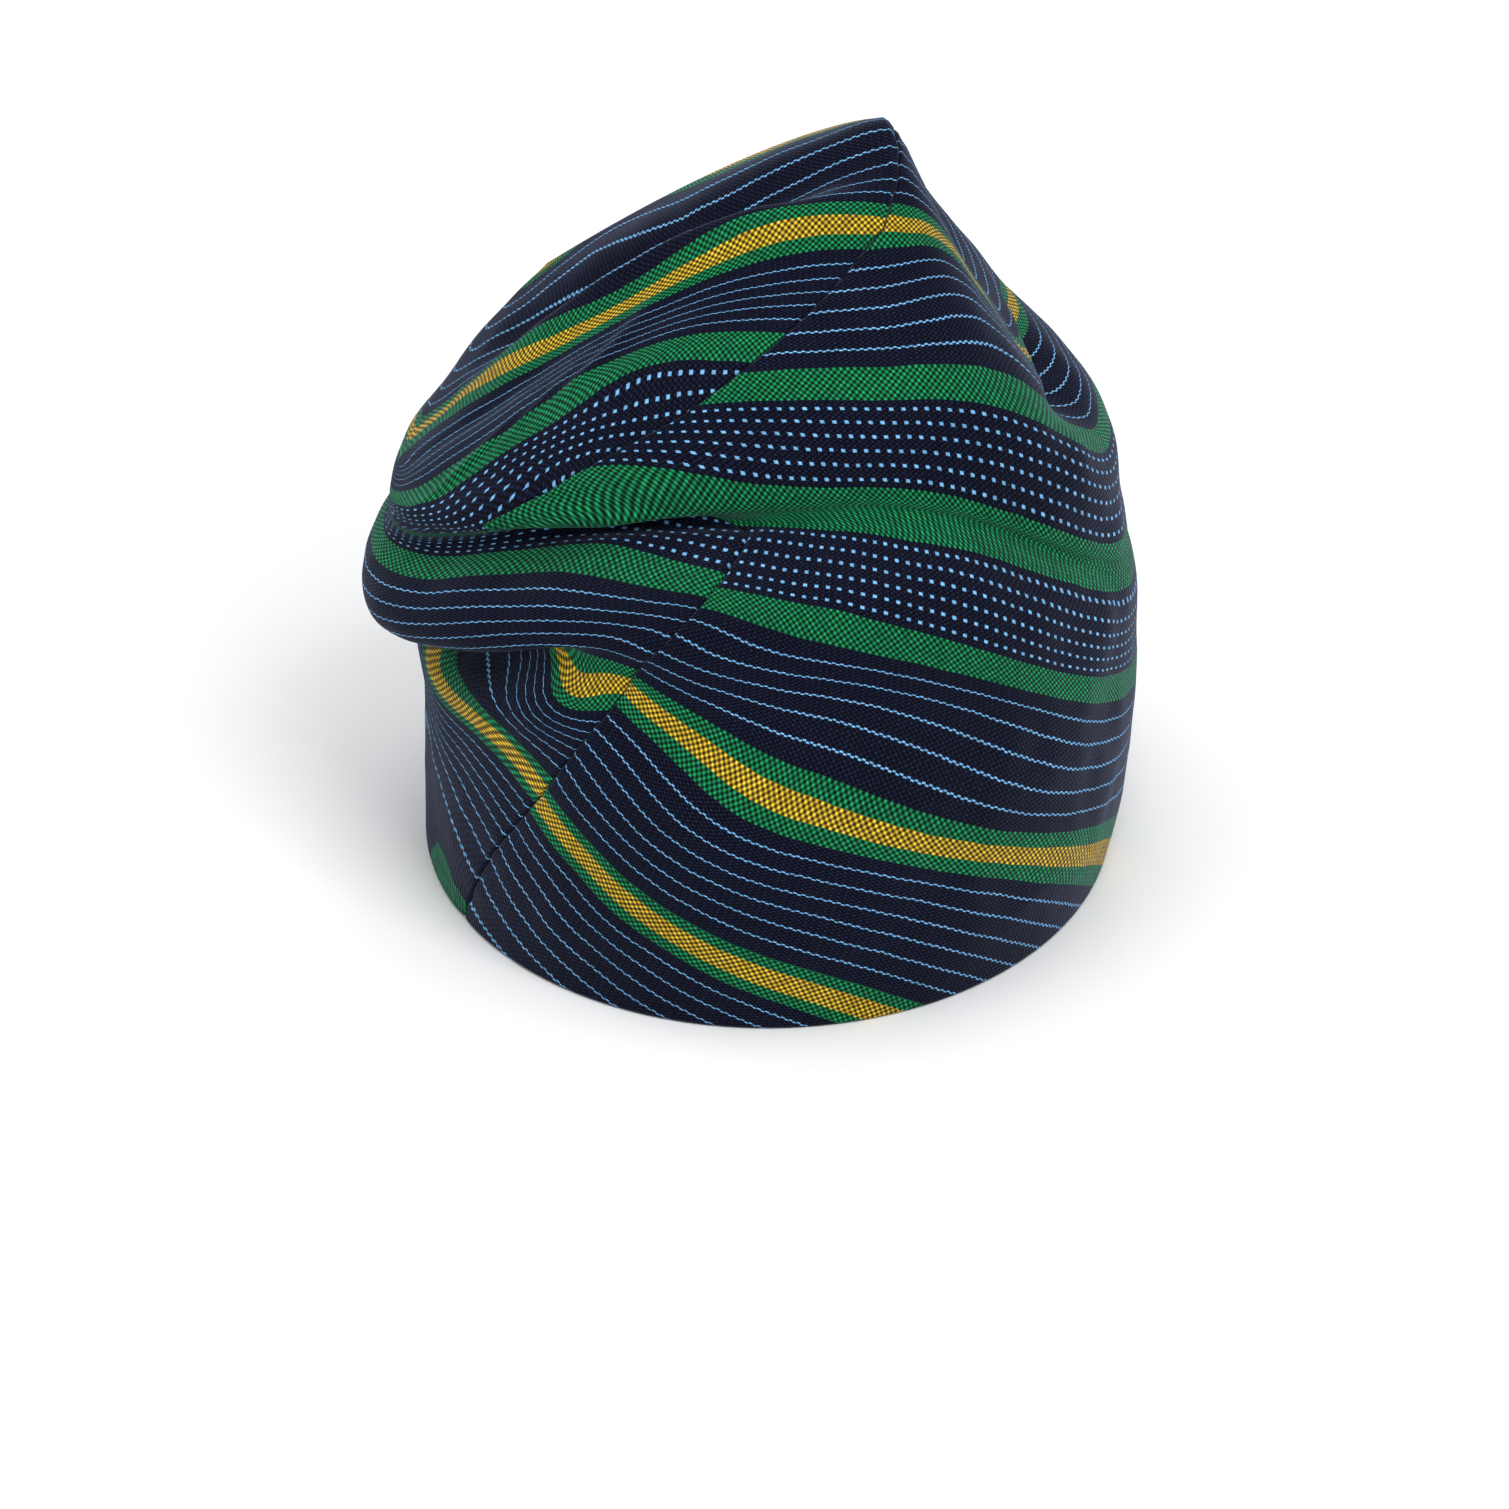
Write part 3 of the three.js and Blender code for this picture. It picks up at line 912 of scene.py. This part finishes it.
def stitch_tree():
    """Short lengths of thread along a path, as one mesh."""
    tree = bpy.data.node_groups.new("Stitches along a path", "GeometryNodeTree")
    for way in ("INPUT", "OUTPUT"):
        tree.interface.new_socket("Geometry", in_out=way, socket_type="NodeSocketGeometry")
    for label, value in (("Spacing", 0.004), ("Stitch length", 0.0026), ("Thread radius", 0.00025)):
        socket = tree.interface.new_socket(label, in_out="INPUT", socket_type="NodeSocketFloat")
        socket.default_value = value
    node = {key: tree.nodes.new(kind) for key, kind in (
        ("start", "NodeGroupInput"), ("end", "NodeGroupOutput"),
        ("points", "GeometryNodeCurveToPoints"), ("thread", "GeometryNodeMeshCylinder"),
        ("lay", "GeometryNodeInstanceOnPoints"), ("real", "GeometryNodeRealizeInstances"),
        ("smooth", "GeometryNodeSetShadeSmooth"), ("finish", "GeometryNodeSetMaterial"))}
    node["points"].mode = "LENGTH"
    node["thread"].inputs["Vertices"].default_value = 6
    node["finish"].inputs["Material"].default_value = THREAD
    links = (
        ("start", "Geometry", "points", "Curve"), ("start", "Spacing", "points", "Length"),
        ("start", "Thread radius", "thread", "Radius"), ("start", "Stitch length", "thread", "Depth"),
        ("points", "Points", "lay", "Points"), ("points", "Rotation", "lay", "Rotation"),
        ("thread", "Mesh", "lay", "Instance"), ("lay", "Instances", "real", "Geometry"),
        ("real", "Geometry", "smooth", "Geometry"), ("smooth", "Geometry", "finish", "Geometry"),
        ("finish", "Geometry", "end", "Geometry"))
    for a, out, b, into in links:
        tree.links.new(node[a].outputs[out], node[b].inputs[into])
    return tree


STITCHES = stitch_tree()


def stitch(name, path, **sizes):
    """Stitches along a path of points, as a plain mesh object."""
    curve = bpy.data.curves.new(name + "_path", "CURVE")
    curve.dimensions = "3D"
    spline = curve.splines.new("POLY")
    spline.points.add(len(path) - 1)
    spline.points.foreach_set("co", np.c_[path, np.ones(len(path))].ravel())
    guide = bpy.data.objects.new(name + "_path", curve)
    bpy.context.scene.collection.objects.link(guide)
    modifier = guide.modifiers.new("stitches", "NODES")
    modifier.node_group = STITCHES
    for item in STITCHES.interface.items_tree:
        if item.in_out == "INPUT" and item.name in sizes:
            modifier[item.identifier] = sizes[item.name]
    shown = guide.evaluated_get(bpy.context.evaluated_depsgraph_get())
    mesh = bpy.data.meshes.new_from_object(shown)
    guide.modifiers.remove(modifier)
    bpy.data.objects.remove(guide)
    mesh.name = name
    piece = bpy.data.objects.new(name, mesh)
    bpy.context.scene.collection.objects.link(piece)
    print(name, "triangles:", sum(len(face.vertices) - 2 for face in mesh.polygons))
    return piece


print("stitch tree:", STITCHES.name)

# %% [markdown]
# The hem's stitches run level on the inner face, near the turned-in edge. The seam's thread lies
# halfway between the two halves, along the near side and along the far side.

# %% Lay the stitches
STITCHED_AT = 0.8      # where the hem is caught down, as a share of its height
hem_row = int(np.searchsorted(LEVELS, HEM_RISE * STITCHED_AT / CLOTH_RISE))
hem_path = slice(3, -3)    # it stops just short of the seams
hem_stitches = {side: stitch(side + "_hem_stitches", faces[3][hem_row, hem_path],
                             **{"Spacing": 0.0062, "Stitch length": 0.0022})
                for side, faces in halves.items()}

sewn = slice(7, -4)    # the seam's thread starts above the floor and ends below the peak
seam_threads = []
for side, right_end, left_end in (("near", 0, -1), ("far", -1, 0)):
    meeting = (halves["right"][2][sewn, right_end] + halves["left"][2][sewn, left_end]) / 2
    sizes = {"Spacing": 0.0042, "Thread radius": 0.00018}
    seam_threads.append(stitch(side + "_seam_thread", meeting, **sizes))

# %% [markdown]
# ## Floor and light
# The cap rests on its rim on a pale floor. A bright sky alone would leave the folds flat, so the
# light comes from three large soft panels too: the folds shade gently and only the pockets go
# dark.

# %% Stage
FLOOR_REACH = 6.0                  # from the cap to the floor's edge
LIGHT_AIM = Vector((0, 0, 0.07))   # the middle of the cap


def pale_floor():
    """A wide pale floor with a faint unevenness."""
    material, tree, shader = new_material("pale_floor")
    cloudy = tree.nodes.new("ShaderNodeTexNoise")
    cloudy.inputs["Scale"].default_value = 3
    fill(tree, shader.inputs["Base Color"],
         blend_of(tree, cloudy.outputs["Fac"], (0.86, 0.86, 0.86, 1), (0.90, 0.90, 0.90, 1)))
    shader.inputs["Roughness"].default_value = 0.8
    mesh = bpy.data.meshes.new("floor")
    ends = [(-1, -1), (1, -1), (1, 1), (-1, 1)]
    mesh.from_pydata([(x * FLOOR_REACH, y * FLOOR_REACH, 0) for x, y in ends], [], [(0, 1, 2, 3)])
    floor = bpy.data.objects.new("floor", mesh)
    floor.data.materials.append(material)
    bpy.context.scene.collection.objects.link(floor)


def soft_light(name, place, size, watts):
    """A square area light that looks at the cap."""
    lamp = bpy.data.lights.new(name, "AREA")
    lamp.shape = "SQUARE"
    lamp.size = size
    lamp.energy = watts
    light = bpy.data.objects.new(name, lamp)
    light.location = place
    light.rotation_euler = (LIGHT_AIM - Vector(place)).to_track_quat("-Z", "Y").to_euler()
    bpy.context.scene.collection.objects.link(light)


pale_floor()
soft_light("key", (0.5, -0.9, 1.3), 0.9, 17)
soft_light("top", (-0.2, 0.5, 1.6), 1.4, 13)
soft_light("fill", (-1.3, -0.9, 0.6), 1.2, 4)
world = bpy.data.worlds.new("studio")
world.use_nodes = True
world.node_tree.nodes["Background"].inputs[0].default_value = (0.95, 0.97, 1.0, 1)
world.node_tree.nodes["Background"].inputs[1].default_value = 0.55
bpy.context.scene.world = world
bpy.context.scene.view_settings.view_transform = "Standard"

# %% [markdown]
# ## Camera
# The camera stands far off with a long lens, as the picture's nearly parallel lines ask. It looks
# down at the angle at which the round of the rim shows as flat as it does there.

# %% Camera
ELEVATION = math.radians(28.6)
FRAME_WIDTH = 0.362        # how much the picture takes in at the cap
FAR_OFF = 9.0
AIM = Vector((0.0011, -0.0005, 0.0193))
SENSOR = 36                # mm

camera_data = bpy.data.cameras.new("camera")
camera_data.sensor_width = SENSOR
camera_data.lens = SENSOR * FAR_OFF / FRAME_WIDTH
camera_data.clip_end = 20
camera = bpy.data.objects.new("camera", camera_data)
away = Vector((0, -math.cos(ELEVATION), math.sin(ELEVATION)))
camera.matrix_world = Matrix.Translation(AIM + away * FAR_OFF) @ \
    (-away).to_track_quat("-Z", "Y").to_matrix().to_4x4()
bpy.context.scene.collection.objects.link(camera)
bpy.context.scene.camera = camera
print("camera lens, mm:", round(camera_data.lens))

# %% [markdown]
# ## Hand over
# Each half stands for its solid, and the stitches go with the half that they are sewn to. The
# flat cuts are strips of cloth sewn side by side.

# %% Ride and replace
for side, panel in panels.items():
    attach(panel, "root")
    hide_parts(side + "_panel")
    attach(hem_stitches[side], "root")
for thread in seam_threads:
    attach(thread, "root")
print("sheets declared for:", ", ".join(panel.name for panel in panels.values()))
